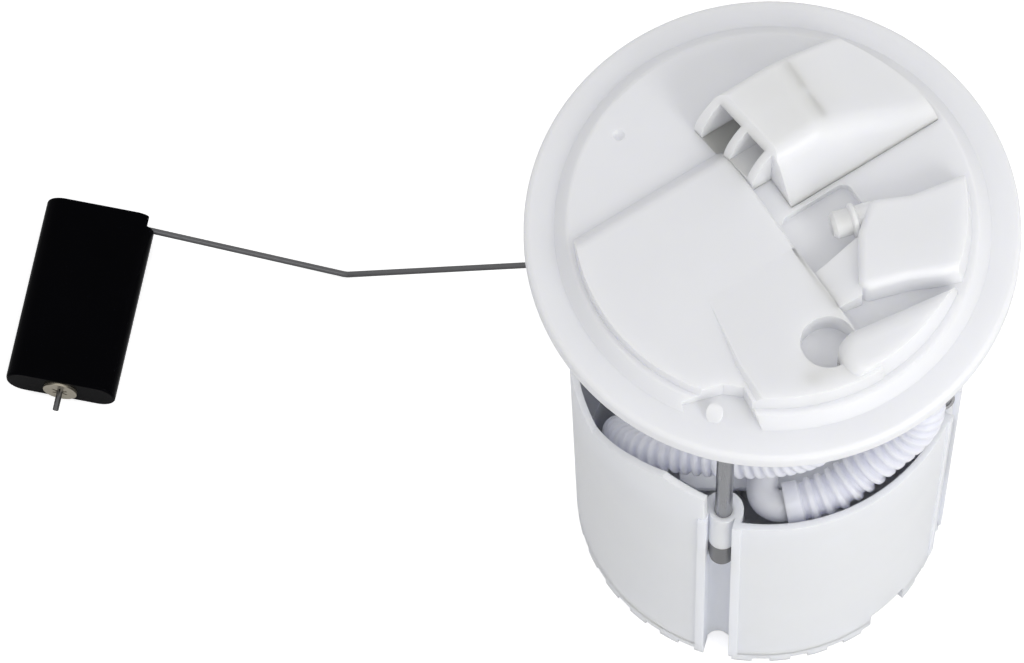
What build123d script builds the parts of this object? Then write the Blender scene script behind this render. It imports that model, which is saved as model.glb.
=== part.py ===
from build123d import *

import os
from math import asin, cos, degrees, radians, sin, sqrt

# In-tank fuel pump module. Millimetres, +Z up through the cover, origin at the centre of
# the flange's seating face. -Y is the front of the module, the float arm reaches to -X.

# ---- fits ------------------------------------------------------------------------------
press_clearance = 0.02
hair = 0.01
running_clearance = 0.08
seat_gap = 0.10
free_gap = 0.40

# ---- cover flange ----------------------------------------------------------------------
flange_radius = 70.0
flange_edge = 6.2
flange_edge_round = 1.6
annulus_rise = 0.6
disc_foot_radius = 61.5
disc_bevel = 3.6
disc_round = 1.6
spigot_radius = 59.5
spigot_wall = 2.4
spigot_depth = 12.0
cover_skin = 6.0

# features on the cover share the heading of the electrical socket
socket_heading = 33.0
plateau_rise = 4.2
plateau_back = 26.0
plateau_ramp = 3.6
plateau_brow = 3.2
plateau_edge_round = 1.2
step_rise = 2.8
step_outline = ((-28.6, -9.0), (-33.6, -32.0), (-37.2, -70.0), (30.0, -70.0), (30.0, -9.0))
step_back = -11.0
step_front = -54.0
step_lean = 35.0
recess_outline = ((-35.2, -38.5), (-39.5, -34.6), (-51.0, -31.0), (-60.0, -60.0), (-37.2, -60.0))
recess_boss = (-45.0, -38.6)
recess_boss_radius = 2.4
dimple_radius = 2.2
dimple_depth = 0.9
dimple_place = (-43.2, 26.6)

# electrical socket: two bays under a roof that falls away behind
socket_height = 19.5
socket_right = 11.2
socket_left = 35.0
socket_foot = -1.2
socket_mouth = 6.8
socket_mouth_bulge = 2.2
socket_mouth_skew = 8.0
socket_wall = 2.4
socket_partition = 22.2
socket_floor = 0.4
socket_roof = 2.4
socket_depth = 26.0
socket_flank_foot = 0.8
socket_flank_top = 9.0
socket_ridge = 7.0
socket_fall = ((26.0, 17.8), (38.0, 12.4), (50.0, 6.6), (64.0, 4.0))

# pins in the socket
pin_width = 2.8
pin_thickness = 0.8
pin_rise = 7.5
pin_front = 13.0
pin_bend = 31.0
pin_tail = 4.0
pin_pitch = 5.0

# supply housing: a broad block with a nose that runs down to the plateau's edge
supply_outline = (
    (23.6, -24.8),
    (23.6, -6.8),
    (27.0, 3.0),
    (38.5, 4.6),
    (60.0, 13.5),
    (60.0, -16.0),
    (48.0, -19.4),
    (38.0, -20.8),
)
supply_rise = 10.6
supply_round = 3.0
nose_outline = ((11.4, -17.0), (24.6, -6.4), (24.6, -25.0), (18.2, -28.0))
nose_rise = 7.4
supply_heading = 17.0
supply_place = (28.0, 0.2)
stub_radius = 3.95
stub_bead_radius = 4.9
stub_bead = 1.6
stub_length = 12.5
stub_bore = 2.8
pocket_corner = (1.2, -0.6)
pocket_width = 23.0
pocket_front = -24.0
pocket_depth = 3.0

# return housing: a round-nosed hump standing in a round pocket
return_heading = 25.0
return_place = (26.0, -42.4)
return_half_width = 8.4
return_rise = 9.4
return_crown = 5.6
return_port_radius = 3.0
return_port_depth = 9.0
return_well = (15.1, -38.6)
return_well_radius = 7.9

supply_nipple = (40.0, -26.0)
return_nipple = (20.0, -32.0)
cover_nipple_end = -26.0
cover_nipple_radius = 3.6
cover_nipple_bore = 2.4
return_nipple_radius = 2.2
return_nipple_bore = 1.3

# ---- guide rods ------------------------------------------------------------------------
rod_radius = 2.5
rod_inset = 5.0
rod_azimuths = {"front": 255.8, "right": 342.0, "rear": 96.0}
rod_ends = {"front": -117.0, "right": -150.0, "rear": -150.0}
boss_radius = 6.0
boss_bottom = -16.0
rod_grip = 15.0
stop_radius = 3.7
stop_length = 13.3
travel = 30.0

# ---- reservoir -------------------------------------------------------------------------
cup_top_radius = 56.9
cup_foot_radius = 54.1
cup_wall = 2.0
rim_z = -82.5
foot_z = -196.4
cup_floor = 2.6
cup_floor_z = -184.0
skirt_z = -191.0
guard_rise = 21.5
saddle_drop = 22.0
groove_width = 7.6
groove_depth = 8.9
groove_wall = 2.0
groove_rib = 2.6
groove_rib_rise = 0.7
guide_boss_radius = 4.2
guide_boss_height = 21.0
inlet_notch_azimuth = 313.5
inlet_notch_width = 13.0
inlet_notch_height = 18.0
inlet_notch_depth = 6.5

# ---- reservoir foot --------------------------------------------------------------------
foot_plate = 2.4
foot_pad_count = 30
foot_slot_width = 5.2
foot_slot_depth = 2.4
foot_pad_wall = 5.0
inlet_bore = 9.0
valve_radius = 11.0
valve_thickness = 1.2
valve_stem = 1.9
strainer_radius = 15.0
strainer_height = 1.6

# ---- pump ------------------------------------------------------------------------------
pump_place = (5.0, 6.0)
can_radius = 19.0
can_wall = 1.0
can_top = -108.0
can_bottom = -170.0
crimp = 1.2
inlet_cap_height = 6.0
inlet_cap_radius = 17.6
outlet_cap_height = 9.0
outlet_cap_radius = 15.5
nipple_radius = 4.0
nipple_bore = 2.4
nipple_length = 8.0
shaft_radius = 1.5
impeller_radius = 15.0
impeller_height = 4.0
impeller_hub = 3.6
impeller_blades = 18
armature_radius = 12.2
armature_length = 22.0
armature_slots = 8
commutator_radius = 8.5
commutator_height = 4.0
magnet_wall = 3.6
magnet_span = 130.0
brush_side = 4.0
brush_length = 5.0
sleeve_wall = 2.6
sleeve_height = 8.0

# ---- float and level sender ------------------------------------------------------------
arm_heading = 168.0
arm_offset = 41.4
pivot_reach = 51.1
pivot_z = -141.9
arm_radius = 0.9
arm_bend = 3.0
arm_first_run = 83.0
arm_first_drop = 53.3
arm_second_run = 74.9
arm_second_rise = 5.6
float_heading = 258.4
float_length = 58.0
float_width = 33.0
float_thickness = 12.6
float_side_round = 5.6
float_overhang = 2.2
float_swing = 14.0
clip_radius = 5.1
clip_thickness = 0.8
arm_tail = 5.8
sender_width = 19.0
sender_height = 46.0
sender_depth = 4.4
bracket_thickness = 3.0
hub_radius = 6.0
hub_length = 5.0
spindle_radius = 2.4
lever_length = 16.0

# ---- hoses -----------------------------------------------------------------------------
supply_hose_radius = 6.5
return_hose_radius = 4.9
hose_wall = 1.8
cuff_grip = 8.5
bend_share = 0.45
elbow_radius = 4.6
supply_inset = 10.4
carrier_z = -97.0
carrier_plate = 2.5
carrier_radius = 44.0
carrier_front = -39.0
carrier_left = -25.0
jet_place = (-38.0, -12.0)
jet_radius = 5.2
jet_top = -152.0
valve_place = (-29.0, 13.0)

# ---- springs ---------------------------------------------------------------------------
spring_radius = 4.6
spring_wire = 1.1


# ---- helpers ---------------------------------------------------------------------------
def post(radius, low, high, x=0.0, y=0.0):
    """An upright cylinder between two heights."""
    return Pos(x, y, (low + high) / 2) * Cylinder(radius, high - low)


def tube(outer, inner, low, high, x=0.0, y=0.0):
    """An upright tube between two heights."""
    return post(outer, low, high, x, y) - post(inner, low - 1, high + 1, x, y)


def block(x0, x1, y0, y1, z0, z1):
    """A box given by its two corners."""
    return Pos((x0 + x1) / 2, (y0 + y1) / 2, (z0 + z1) / 2) * Box(x1 - x0, y1 - y0, z1 - z0)


def turned(points):
    """A solid of revolution about Z from an (r, z) outline."""
    outline = Polyline(*[(r, 0, z) for r, z in points], close=True)
    return revolve(make_face(outline), Axis.Z)


def upright(points, half_width):
    """A plate standing along X, from an (x, z) outline, centred on Y."""
    outline = Polyline(*[(x, 0, z) for x, z in points], close=True)
    return extrude(make_face(outline), half_width, dir=(0, 1, 0), both=True)


def lying(shape, heading, place=(0.0, 0.0), z=0.0):
    """Turns a shape to a heading in plan and puts it at a place."""
    return Pos(place[0], place[1], z) * Rot(0, 0, heading) * shape


def group(shapes, place=None):
    """Separate solids of one node, moved together."""
    where = place or Pos(0, 0, 0)
    return Compound([where * shape for shape in shapes])


def on_circle(radius, azimuth):
    return radius * cos(radians(azimuth)), radius * sin(radians(azimuth))


# ---- cover -----------------------------------------------------------------------------
rod_circle = cup_top_radius - rod_inset
annulus_top = flange_edge + annulus_rise
disc_top = annulus_top + disc_bevel
disc_top_radius = disc_foot_radius - disc_bevel
plateau_top = disc_top + plateau_rise
socket_top = disc_top + socket_height
supply_top = disc_top + supply_rise
return_top = disc_top + return_rise
pocket_floor = disc_top - pocket_depth
cavity_top = disc_top - cover_skin
well_top = 6 * cover_skin
turned_axes = Rot(0, 0, socket_heading)


def cover_blank():
    """Flange, raised disc and the spigot that drops into the tank opening."""
    outer = turned(
        [
            (0, 0),
            (flange_radius - flange_edge_round / 2, 0),
            (flange_radius, flange_edge_round / 2),
            (flange_radius, flange_edge),
            (disc_foot_radius, annulus_top),
            (disc_top_radius, disc_top),
            (0, disc_top),
        ]
    )
    rims = outer.edges().filter_by(GeomType.CIRCLE)
    rim = rims.filter_by(lambda e: abs(e.radius - flange_radius) < hair).sort_by(Axis.Z)[-1]
    outer = fillet([rim], flange_edge_round)
    rims = outer.edges().filter_by(GeomType.CIRCLE)
    outer = fillet(rims.filter_by(lambda e: abs(e.radius - disc_top_radius) < hair), disc_round)
    spigot_inner = spigot_radius - spigot_wall
    spigot = turned(
        [
            (spigot_inner, 0),
            (spigot_radius, 0),
            (spigot_radius, spigot_wall / 2 - spigot_depth),
            (spigot_radius - spigot_wall / 2, -spigot_depth),
            (spigot_inner, -spigot_depth),
        ]
    )
    cavity = post(spigot_inner, -spigot_depth, cavity_top)
    return outer + spigot - cavity


def prism(outline, low, high):
    """An upright prism on an outline in plan."""
    ring = Polyline(*[(x, y, low) for x, y in outline], close=True)
    return extrude(make_face(ring), high - low, dir=(0, 0, 1))


def disc_bound(top, inset=0.0):
    """Everything over the disc, up to a height, with a near-upright side."""
    foot = disc_top_radius - disc_round - inset
    lean = (top - disc_top) * 0.08
    low = disc_top - 1
    return turned([(0, low), (foot, low), (foot, disc_top), (foot - lean, top), (0, top)])


def plateau():
    """The raised area in front of the sockets, with its rounded rear shoulder and its step."""
    reach = 2 * disc_top_radius
    foot = disc_top - 1
    side = Polyline(
        (0, -reach, foot),
        (0, -reach, plateau_top),
        (0, plateau_back - plateau_ramp, plateau_top),
        (0, plateau_back, disc_top),
        (0, plateau_back, foot),
        close=True,
    )
    slab = extrude(make_face(side), reach, dir=(-1, 0, 0))
    tops = slab.edges().filter_by(Axis.X).filter_by(lambda e: abs(e.center().Z - plateau_top) < hair)
    slab = fillet(tops.sort_by(Axis.Y)[-1], plateau_brow)
    front = slab.edges().filter_by(Axis.Y).group_by(Axis.Z)[-1].sort_by(Axis.X)[-1]
    slab = fillet(front, plateau_edge_round)
    raised = (turned_axes * slab) & disc_bound(plateau_top + step_rise)
    return raised + step()


def step():
    """The part of the plateau that climbs a little towards the front, over a leaning edge."""
    climb = Polyline(
        (0, step_back, disc_top),
        (0, step_back, plateau_top),
        (0, step_front, plateau_top + step_rise),
        (0, 2 * step_front, plateau_top + step_rise),
        (0, 2 * step_front, disc_top),
        close=True,
    )
    wedge = extrude(make_face(climb), 2 * disc_top_radius, dir=(-1, 0, 0))
    sunk = plateau_top - press_clearance
    ring = Polyline(*[(x, y, sunk) for x, y in step_outline], close=True)
    area = extrude(make_face(ring), step_rise + 1, dir=(0, 0, 1), taper=step_lean)
    return (turned_axes * (wedge & area)) & disc_bound(plateau_top + step_rise)


def front_recess():
    """A notch in the disc's edge beside the step, with a small boss in it."""
    x, y = recess_boss
    notch = prism(recess_outline, annulus_top, well_top)
    return turned_axes * (notch - post(recess_boss_radius, annulus_top - 1, disc_top, x, y))


def socket_mouth_cut():
    """What lies ahead of the socket's curved and slightly skewed mouth."""
    top = socket_top + 1
    middle_x = (socket_foot + socket_mouth) / 2 - socket_mouth_bulge
    middle_z = (disc_top + socket_top) / 2 + socket_mouth_bulge / 2
    far = -40
    outline = [
        ThreePointArc(
            (socket_foot, 0, disc_top), (middle_x, 0, middle_z), (socket_mouth, 0, socket_top)
        ),
        Line((socket_mouth, 0, socket_top), (socket_mouth, 0, top)),
        Line((socket_mouth, 0, top), (far, 0, top)),
        Line((far, 0, top), (far, 0, disc_top)),
        Line((far, 0, disc_top), (socket_foot, 0, disc_top)),
    ]
    cut = extrude(make_face(outline), 2 * socket_left, dir=(0, 1, 0), both=True)
    return Pos(0, socket_partition, 0) * Rot(0, 0, socket_mouth_skew) * cut


def socket_shell():
    """Housing of the two-bay electrical socket, in its own frame along X."""
    foot = disc_top - 1
    start = -20
    falling = [(x, 0, disc_top + z) for x, z in socket_fall]
    roof_end = (falling[0][0] - 6, 0, socket_top)
    fall = Spline(roof_end, *falling, tangents=[(1, 0, 0), (1, 0, -0.1)])
    side = [
        Line((start, 0, foot), (start, 0, socket_top)),
        Line((start, 0, socket_top), roof_end),
        fall,
        Line(falling[-1], (falling[-1][0], 0, foot)),
        Line((falling[-1][0], 0, foot), (start, 0, foot)),
    ]
    body = extrude(make_face(side), 2 * socket_left, dir=(0, 1, 0), both=True)
    section = Polyline(
        (start, socket_flank_foot - 1, foot),
        (start, socket_flank_foot, disc_top),
        (start, socket_flank_top, socket_top),
        (start, socket_left - 0.6, socket_top),
        (start, socket_left + 0.6, foot),
        close=True,
    )
    arch = extrude(make_face(section), 100, dir=(1, 0, 0))
    flank = block(start - 1, socket_mouth, socket_flank_foot - 3, socket_right, foot - 1, socket_top + 5)
    ahead = block(start - 1, socket_foot - 4, -5, 60, foot - 1, socket_top + 5)
    housing = body & arch
    crest = disc_top + socket_roof
    for ridge_radius, low_y, high_y in ((socket_ridge, 0, socket_right), (socket_wall, 30, 50)):
        ridge = [
            edge
            for edge in housing.edges()
            if edge.length > pin_front
            and edge.center().Z > crest
            and edge.center().X > start / 2
            and low_y < edge.center().Y < high_y
        ]
        housing = fillet(ridge, ridge_radius)
    return housing - socket_mouth_cut() - flank - ahead


def socket_bays():
    """The two bays, open to the front."""
    roof = socket_top - socket_roof
    front = socket_foot - 4
    left = block(
        front,
        socket_depth,
        socket_partition + socket_wall / 2,
        socket_left - 0.4 - socket_wall,
        disc_top + socket_floor,
        roof,
    )
    right = block(
        front,
        socket_depth,
        socket_right + socket_wall,
        socket_partition - socket_wall / 2,
        plateau_top + socket_floor,
        roof,
    )
    return left + right


def pin_rows():
    """Y positions of the pins: one in the narrow bay, two in the wide one."""
    narrow = (socket_right + socket_wall + socket_partition) / 2
    wide = (socket_left - socket_wall + socket_partition) / 2
    return [narrow, wide - pin_pitch / 2, wide + pin_pitch / 2]


def pin(y, growth=0.0):
    """One L-shaped pin; growth widens it into the slot that grips it."""
    z = plateau_top + pin_rise
    half = pin_thickness / 2 + growth
    wide = pin_width / 2 + growth
    blade = block(pin_front, pin_bend + half, y - wide, y + wide, z - half, z + half)
    tail = block(pin_bend - half, pin_bend + half, y - wide, y + wide, -pin_tail, z + half)
    return blade + tail


def bounded(top):
    """Limit of the pipe housings: inside the disc's edge and above the cover's cavity."""
    foot = disc_top_radius - disc_round - 0.5
    low = cavity_top + 1
    return turned([(0, low), (foot, low), (foot, disc_top), (foot - 1.5, top), (0, top)])


def supply_housing():
    """Block over the supply passage, with the sloping nose in front of it."""
    foot = pocket_floor - 1
    body = prism(supply_outline, foot, supply_top)
    body = fillet(body.edges().filter_by(Axis.Z), supply_round)
    body = fillet(body.faces().sort_by(Axis.Z)[-1].edges(), supply_round * 0.8)
    low_x = min(x for x, y in nose_outline)
    high_x = max(x for x, y in nose_outline)
    slope = upright(
        [
            (low_x, foot),
            (low_x, plateau_top - 0.6),
            (high_x, disc_top + nose_rise),
            (high_x, foot),
        ],
        2 * disc_top_radius,
    )
    nose = prism(nose_outline, foot, supply_top) & slope
    return (body & bounded(supply_top + 1)) + nose


def supply_pocket():
    """Pocket behind the plateau's edge that the supply spigot stands in."""
    right, back = pocket_corner
    pocket = block(right, right + pocket_width, pocket_front, back, pocket_floor, well_top)
    return turned_axes * fillet(pocket.edges().filter_by(Axis.Z), supply_round)


def return_housing():
    """Round-nosed hump over the return passage."""
    foot = pocket_floor - 1
    length = 40.0
    body = post(return_half_width, foot, return_top)
    body += block(0, length, -return_half_width, return_half_width, foot, return_top)
    body = fillet(body.faces().sort_by(Axis.Z)[-1].edges().sort_by(Axis.X)[:-1], return_crown)
    body = lying(body, return_heading, return_place)
    return body & bounded(return_top + 1)


def return_port():
    """Blind port in the return hump's nose."""
    bore = Pos(-return_half_width - 1, 0, 0) * Rot(0, 90, 0) * Cylinder(
        return_port_radius, 2 * return_port_depth
    )
    return lying(bore, return_heading, return_place, plateau_top - 2)


def stub(length):
    """Quick-connect spigot along -X from the origin, with its locking bead."""
    pipe = [
        (0, 0),
        (stub_radius, 0),
        (stub_radius, length * 0.38),
        (stub_bead_radius, length * 0.38 + stub_bead * 0.4),
        (stub_bead_radius, length * 0.38 + stub_bead),
        (stub_radius, length * 0.38 + stub_bead * 1.4),
        (stub_radius, length - 1.2),
        (stub_radius - 0.9, length),
        (0, length),
    ]
    return Rot(0, -90, 0) * (turned(pipe) - post(stub_bore, length / 3, length + 1))


def hose_nipple(place, low, radius, bore):
    """Downward barbed nipple under the cover, with three saw-tooth barbs."""
    x, y = place
    barb = 0.5
    pitch = 3.2
    points = [(0, cavity_top + 1), (radius, cavity_top + 1), (radius, low + 3 * pitch)]
    for turn in range(3, 0, -1):
        points.append((radius + barb, low + turn * pitch))
        points.append((radius, low + (turn - 1) * pitch))
    points.append((0, low))
    body = turned(points)
    return Pos(x, y, 0) * (body - post(bore, low - 1, cavity_top - 2))


def cover_flange():
    """The cover moulding, apart from the socket's housing."""
    body = cover_blank() + plateau() - front_recess()
    body -= supply_pocket()
    body -= Pos(*return_well, 0) * post(return_well_radius, pocket_floor, well_top)
    body += supply_housing()
    body += return_housing()
    body -= return_port()
    spout_z = disc_top + stub_bead_radius + 0.4
    spout = Pos(0, 0, spout_z) * stub(stub_length)
    body += lying(spout, supply_heading, supply_place)
    for y in pin_rows():
        body -= turned_axes * pin(y, press_clearance)
    body -= Pos(*dimple_place, disc_top + dimple_radius - dimple_depth) * Sphere(dimple_radius)
    for azimuth in rod_azimuths.values():
        x, y = on_circle(rod_circle, azimuth)
        body += post(boss_radius, boss_bottom, cavity_top + 1, x, y) & post(
            spigot_radius - 0.5, boss_bottom - 1, cavity_top + 1
        )
        body -= post(rod_radius + press_clearance, boss_bottom - 1, boss_bottom + rod_grip, x, y)
    body += hose_nipple(supply_nipple, cover_nipple_end, cover_nipple_radius, cover_nipple_bore)
    body += hose_nipple(return_nipple, cover_nipple_end, return_nipple_radius, return_nipple_bore)
    return body


def socket_housing(cover):
    """The electrical socket's housing, welded onto the disc."""
    shell = (turned_axes * (socket_shell() - socket_bays())) & disc_bound(socket_top + 1)
    shell -= supply_pocket()
    for y in pin_rows():
        shell -= turned_axes * pin(y, press_clearance)
    return shell - cover


def socket_pins():
    return group([pin(y) for y in pin_rows()], turned_axes)


# ---- guide rods, stop and springs ------------------------------------------------------
def guide_rod(which):
    x, y = on_circle(rod_circle, rod_azimuths[which])
    top = boss_bottom + rod_grip
    rod = post(rod_radius, rod_ends[which], top, x, y)
    rims = rod.edges().filter_by(GeomType.CIRCLE)
    return chamfer(rims, rod_radius / 6)


guide_boss_bottom = rim_z - guide_boss_height


def rod_stop():
    x, y = on_circle(rod_circle, rod_azimuths["front"])
    low = guide_boss_bottom - stop_length
    return tube(stop_radius, rod_radius + press_clearance, low, guide_boss_bottom, x, y)


def guide_springs():
    """The envelope of the two preload springs, between the cover's bosses and the reservoir's."""
    coils = []
    for which in ("right", "rear"):
        x, y = on_circle(rod_circle, rod_azimuths[which])
        low = rim_z + seat_gap
        high = boss_bottom - seat_gap
        coils.append(tube(spring_radius, spring_radius - spring_wire, low, high, x, y))
    return group(coils)


# ---- reservoir -------------------------------------------------------------------------
def cup_radius(z):
    """Outer radius of the slightly tapered cup at a height."""
    share = (z - foot_z) / (rim_z - foot_z)
    return cup_foot_radius + share * (cup_top_radius - cup_foot_radius)


def cup_cone(growth, low, high):
    low_radius = cup_radius(low) + growth
    high_radius = cup_radius(high) + growth
    return turned([(0, low), (low_radius, low), (high_radius, high), (0, high)])


def groove(azimuth, low, high, growth=0.0, deeper=0.0):
    """The round-backed channel that a guide rod runs in, on the rod's azimuth."""
    half = groove_width / 2 + growth
    centre = cup_radius(rim_z) - groove_depth - deeper + half
    straight = block(centre, cup_top_radius + 10, -half, half, low, high)
    return Rot(0, 0, azimuth) * (straight + post(half, low, high, centre))


guard_top = rim_z + guard_rise


def guard_outline():
    """The raised guard beside the front rod, seen square on to the wall."""
    outline = Polyline(
        (-30, 0, rim_z - 1),
        (-30, 0, rim_z),
        (-14, 0, rim_z + 14),
        (-2, 0, guard_top),
        (11, 0, guard_top - 5),
        (11, 0, rim_z - 1),
        close=True,
    )
    return extrude(make_face(outline), 2 * cup_top_radius, dir=(0, -1, 0))


def sender_frame(a, n, z):
    """A point given by its reach along the arm, its offset across it and its height."""
    c = cos(radians(arm_heading))
    s = sin(radians(arm_heading))
    return Vector(a * c + n * s, a * s - n * c, z)


def sender_block(a0, a1, n0, n1, z0, z1):
    """A box in the sender's frame: X along the arm, -Y across it."""
    return Rot(0, 0, arm_heading) * block(a0, a1, -n1, -n0, z0, z1)


arm_face = arm_offset - hub_length / 2
sender_back = arm_face - free_gap - sender_depth
sender_top = pivot_z + sender_height * 0.42
sender_low = sender_top - sender_height
sender_outer = pivot_reach + sender_width * 0.45


def sender_bracket():
    """Plate on the cup's flank that the level sender hooks onto."""
    n1 = sender_back
    n0 = n1 - bracket_thickness
    wall_reach = sqrt(cup_foot_radius**2 - n1**2) - 3
    plate = sender_block(wall_reach, sender_outer, n0, n1, sender_low, sender_top)
    return plate - cup_cone(-cup_wall / 2, skirt_z, rim_z)


def reservoir_cup():
    """Swirl pot: tapered wall, floor, rod channels with guide bosses, guard and brackets."""
    wall = cup_cone(0, skirt_z, rim_z)
    tall = cup_cone(0, rim_z - 2, guard_top) & (Rot(0, 0, 330) * guard_outline())
    hollow_low = cup_cone(-cup_wall, skirt_z - 1, cup_floor_z - cup_floor)
    hollow = cup_cone(-cup_wall, cup_floor_z, guard_top + 1)
    body = wall + tall - hollow_low - hollow
    inside = cup_cone(-cup_wall / 2, skirt_z, rim_z)
    proud = cup_cone(groove_rib_rise, skirt_z, rim_z)
    for azimuth in rod_azimuths.values():
        channel = groove(azimuth, skirt_z, rim_z, groove_wall, groove_wall)
        body += channel & inside
        ribs = groove(azimuth, skirt_z, rim_z, groove_rib) - groove(azimuth, skirt_z - 1, rim_z + 1)
        body += (ribs & proud) - hollow_low - cup_cone(-cup_wall, cup_floor_z, rim_z)
        body -= groove(azimuth, skirt_z - 1, rim_z + 1)
        x, y = on_circle(rod_circle, azimuth)
        boss = post(guide_boss_radius, guide_boss_bottom, rim_z, x, y)
        root_box = groove(azimuth, guide_boss_bottom, rim_z, 0.2, 0.5)
        inner_half = Rot(0, 0, azimuth) * block(0, rod_circle, -20, 20, skirt_z, rim_z)
        body += boss + (root_box & inner_half)
        body -= post(rod_radius + running_clearance, guide_boss_bottom - 1, rim_z + 1, x, y)
    body += sender_bracket()
    for azimuth in ledge_azimuths:
        ledge = block(carrier_radius + 3.5, cup_top_radius - 1, -4, 4, carrier_z - 7, carrier_z)
        body += (Rot(0, 0, azimuth) * ledge) & cup_cone(-cup_wall / 2, skirt_z, rim_z)
    x, y = valve_place
    body -= post(valve_stem + running_clearance, skirt_z, cup_floor_z + 1, x, y)
    for turn in range(6):
        hole = Rot(0, 0, 60 * turn) * Pos(6.2, 0, 0) * Cylinder(1.7, 3 * cup_floor)
        body -= Pos(x, y, cup_floor_z) * hole
    return body - inlet_notch()


ledge_azimuths = (25.0, 150.0, 290.0)


def inlet_notch():
    """The fuel inlet window at the foot of the wall."""
    inner = cup_radius(foot_z) - inlet_notch_depth
    low = foot_z - 1
    high = cup_floor_z - cup_floor
    half = inlet_notch_width / 2
    return Rot(0, 0, inlet_notch_azimuth) * block(inner, cup_top_radius + 5, -half, half, low, high)


def reservoir_foot():
    """Foot ring with castellated pads, closing the space under the cup's floor."""
    plate_low = skirt_z - foot_plate
    body = cup_cone(0, foot_z, skirt_z)
    body += cup_cone(-cup_wall - free_gap, skirt_z - 1, skirt_z + foot_plate)
    body -= cup_cone(-cup_wall - free_gap - 1.8, skirt_z, skirt_z + foot_plate + 1)
    body -= cup_cone(-foot_pad_wall, foot_z - 1, plate_low)
    gap = 360 / foot_pad_count
    half = foot_slot_width / 2
    for turn in range(foot_pad_count):
        slot = block(0, cup_top_radius + 5, -half, half, foot_z - 1, foot_z + foot_slot_depth)
        body -= Rot(0, 0, gap * (turn + 0.5)) * slot
    for azimuth in rod_azimuths.values():
        body -= groove(azimuth, foot_z - 1, skirt_z + foot_plate + 1, 0, groove_wall + free_gap)
        flanks = groove(azimuth, skirt_z, skirt_z + foot_plate + 1, groove_wall + free_gap, 3)
        body -= flanks
    body -= inlet_notch()
    x, y = valve_place
    return body - post(inlet_bore, foot_z, skirt_z + 1, x, y)


def inlet_valve():
    """Umbrella valve: fuel enters through the floor and can't drain back."""
    x, y = valve_place
    flap = post(valve_radius - 2, cup_floor_z, cup_floor_z + valve_thickness, x, y)
    low = cup_floor_z - cup_floor
    stem = post(valve_stem, low, cup_floor_z, x, y)
    bead = post(valve_stem + 0.9, low - 2.0, low, x, y)
    return flap + stem + bead


def inlet_strainer():
    """Mesh disc clipped under the foot's opening."""
    x, y = valve_place
    high = skirt_z - foot_plate
    disc = post(strainer_radius, high - strainer_height, high, x, y)
    return fillet(disc.edges().filter_by(GeomType.CIRCLE).group_by(Axis.Z)[0], 0.5)


# ---- pump ------------------------------------------------------------------------------
can_inner = can_radius - can_wall


def pump_can():
    body = tube(can_radius, can_inner, can_bottom, can_top, *pump_place)
    lip = can_inner - 1.4
    body += tube(can_inner + 0.5, lip, can_top - crimp, can_top, *pump_place)
    return body + tube(can_inner + 0.5, lip, can_bottom, can_bottom + crimp, *pump_place)


impeller_low = can_bottom + crimp + inlet_cap_height
plug_radius = can_inner - press_clearance
lip_clear = can_inner - 1.4 - free_gap
outlet_low = can_top - crimp - outlet_cap_height


def pump_inlet_cap():
    low = can_bottom + crimp
    body = post(plug_radius, low, impeller_low) + post(lip_clear, low - 4, low)
    body += post(5.0, low - 8, low)
    body -= post(3.0, low - 9, impeller_low + 1)
    body -= Pos(9.0, 0, impeller_low) * Cylinder(2.6, 2.4)
    return Pos(*pump_place, 0) * body


def impeller_housing():
    """Upper half of the pumping stage, with the lower shaft bearing."""
    top = impeller_low + impeller_height + 6
    body = post(plug_radius, impeller_low, top)
    cavity = post(impeller_radius + running_clearance * 2, impeller_low - 1, impeller_low + impeller_height)
    bore = post(shaft_radius + running_clearance, impeller_low, top + 1)
    outlet = Pos(-9.0, 0, 0) * post(2.6, impeller_low, top + 1)
    return Pos(*pump_place, 0) * (body - cavity - bore - outlet)


def impeller():
    """Side-channel wheel with vane slots cut in its rim."""
    low = impeller_low + running_clearance
    high = impeller_low + impeller_height - running_clearance
    body = post(impeller_radius, low, high)
    slot = block(impeller_radius - 2.6, impeller_radius + 1, -0.8, 0.8, low - 1, high + 1)
    for turn in range(impeller_blades):
        body -= Rot(0, 0, 360 / impeller_blades * turn) * slot
    body -= shaft_section(low - 1, high + 1, press_clearance)
    return Pos(*pump_place, 0) * body


def shaft_section(low, high, growth=0.0):
    """The shaft's D-shaped drive end."""
    flat = shaft_radius * 0.6 + growth
    return post(shaft_radius + growth, low, high) & block(-5, flat, -5, 5, low, high)


magnet_low = impeller_low + impeller_height + 8
magnet_high = magnet_low + armature_length + 2
core_low = magnet_low + 1
core_high = core_low + armature_length
commutator_low = core_high + 3


def motor_magnets():
    ring = tube(plug_radius, plug_radius - magnet_wall, magnet_low, magnet_high)
    wedge = Polyline((0, 0), (30, 30 / 0.466), (60, 0), (30, -30 / 0.466), close=True)
    sector = extrude(make_face(wedge), 200, both=True)
    pair = [ring & sector, ring & (Rot(0, 0, 180) * sector)]
    return group(pair, Pos(*pump_place, 0))


def armature():
    core = post(armature_radius, core_low, core_high)
    for turn in range(armature_slots):
        place = Rot(0, 0, 360 / armature_slots * turn)
        slot = block(armature_radius - 6, armature_radius + 1, -0.7, 0.7, core_low - 1, core_high + 1)
        pocket = Pos(armature_radius - 6, 0, 0) * post(1.8, core_low - 1, core_high + 1)
        core -= place * (slot + pocket)
    drive_top = impeller_low + impeller_height
    shaft = post(shaft_radius, drive_top, outlet_low + 6)
    shaft += shaft_section(impeller_low + running_clearance, drive_top)
    return Pos(*pump_place, 0) * (core + shaft)


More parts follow.
